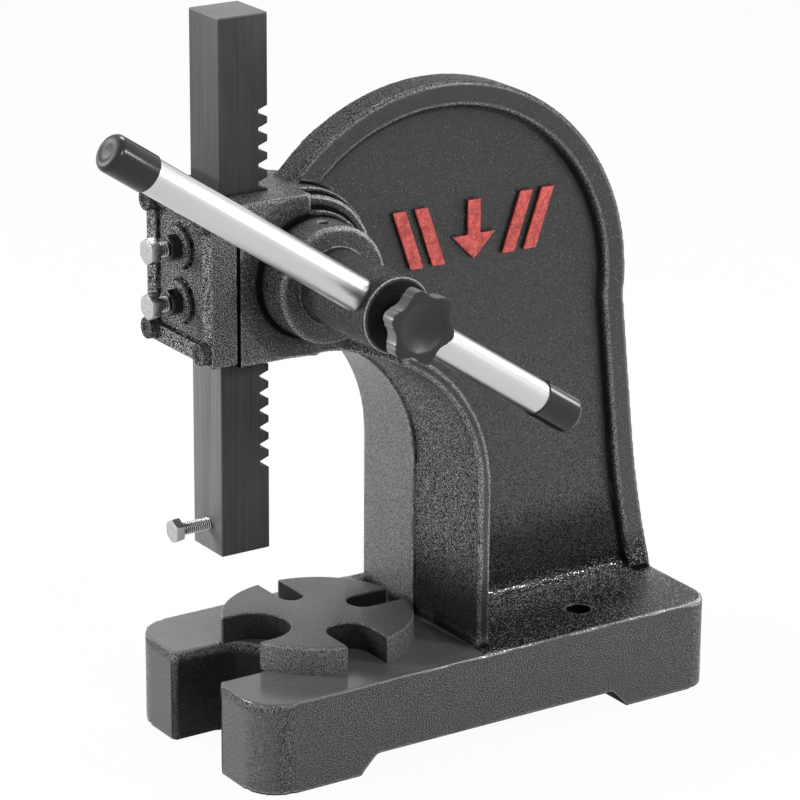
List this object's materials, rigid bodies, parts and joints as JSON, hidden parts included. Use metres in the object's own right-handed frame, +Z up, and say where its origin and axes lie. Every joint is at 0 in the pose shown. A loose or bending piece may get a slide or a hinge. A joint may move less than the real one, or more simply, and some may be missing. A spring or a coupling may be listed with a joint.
{
  "type": "bench arbor press",
  "caption": "Bench arbor press: a cast C-frame guides a square rack ram that a lever drives through a pinion shaft, above a notched turning anvil plate.",
  "frame": {"origin": "where the ram axis meets the bench plane, inside the fork slot of the base", "axes": "+Z up along the ram axis, -Y to the front, +X to the lever side"},
  "size_m": [0.1795, 0.3495, 0.3545],
  "materials": {
    "frame_enamel": "black enamel over a sand-cast surface",
    "motif_red": "red paint on the raised cast shapes",
    "ground_steel": "dark steel, ground along its length",
    "dark_steel": "dark turned steel",
    "black_oxide": "black oxide",
    "zinc": "bright zinc plate",
    "satin_chrome": "satin chrome plate",
    "black_vinyl": "glossy black vinyl",
    "black_plastic": "matt black moulding",
    "grey_iron": "bare grey iron with a ground top"
  },
  "bodies": {
    "frame": {"frame_casting": "frame_enamel", "cast_motif": "motif_red", "front_cap": "frame_enamel", "gib_strip": "ground_steel", "cap_screw_top_left": "black_oxide", "cap_screw_top_right": "black_oxide", "cap_screw_low_left": "black_oxide", "cap_screw_low_right": "black_oxide", "adjusting_screw_low": "zinc", "adjusting_screw_top": "zinc", "lock_nut_low": "black_oxide", "lock_nut_top": "black_oxide"},
    "ram": {"ram": "ground_steel", "tool_clamp_bolt": "zinc"},
    "pinion": {"pinion_shaft": "dark_steel"},
    "lever": {"lever_bar": "satin_chrome", "lever_cap_front": "black_vinyl", "lever_cap_rear": "black_vinyl"},
    "knob": {"clamp_knob": "black_plastic", "clamp_stud": "zinc"},
    "plate": {"anvil_plate": "grey_iron", "plate_pivot_pin": "dark_steel"}
  },
  "joints": [
    {"name": "pinion_turn", "type": "hinge", "parent": "frame", "child": "pinion", "pos_m": [0, 0.0257, 0.2353], "axis": [1, 0, 0], "range_deg": [-276.5, 166]},
    {"name": "ram_slide", "type": "slide", "parent": "frame", "child": "ram", "axis": [0, 0, -1], "range_m": [-0.07, 0.042]},
    {"name": "lever_slide", "type": "slide", "parent": "pinion", "child": "lever", "axis": [0, 0.83, -0.5577], "range_m": [-0.0828, 0.123]},
    {"name": "knob_turn", "type": "hinge", "parent": "pinion", "child": "knob", "pos_m": [0.11, 0.0257, 0.2353], "axis": [1, 0, 0], "range_deg": [0, 360]},
    {"name": "plate_turn", "type": "hinge", "parent": "frame", "child": "plate", "pos_m": [0, 0.0464, 0.045], "axis": [0, 0, 1], "continuous": true}
  ],
  "couplings": [
    {"joint": "ram_slide", "follows": "pinion_turn", "m_per_rad": 0.014478}
  ]
}
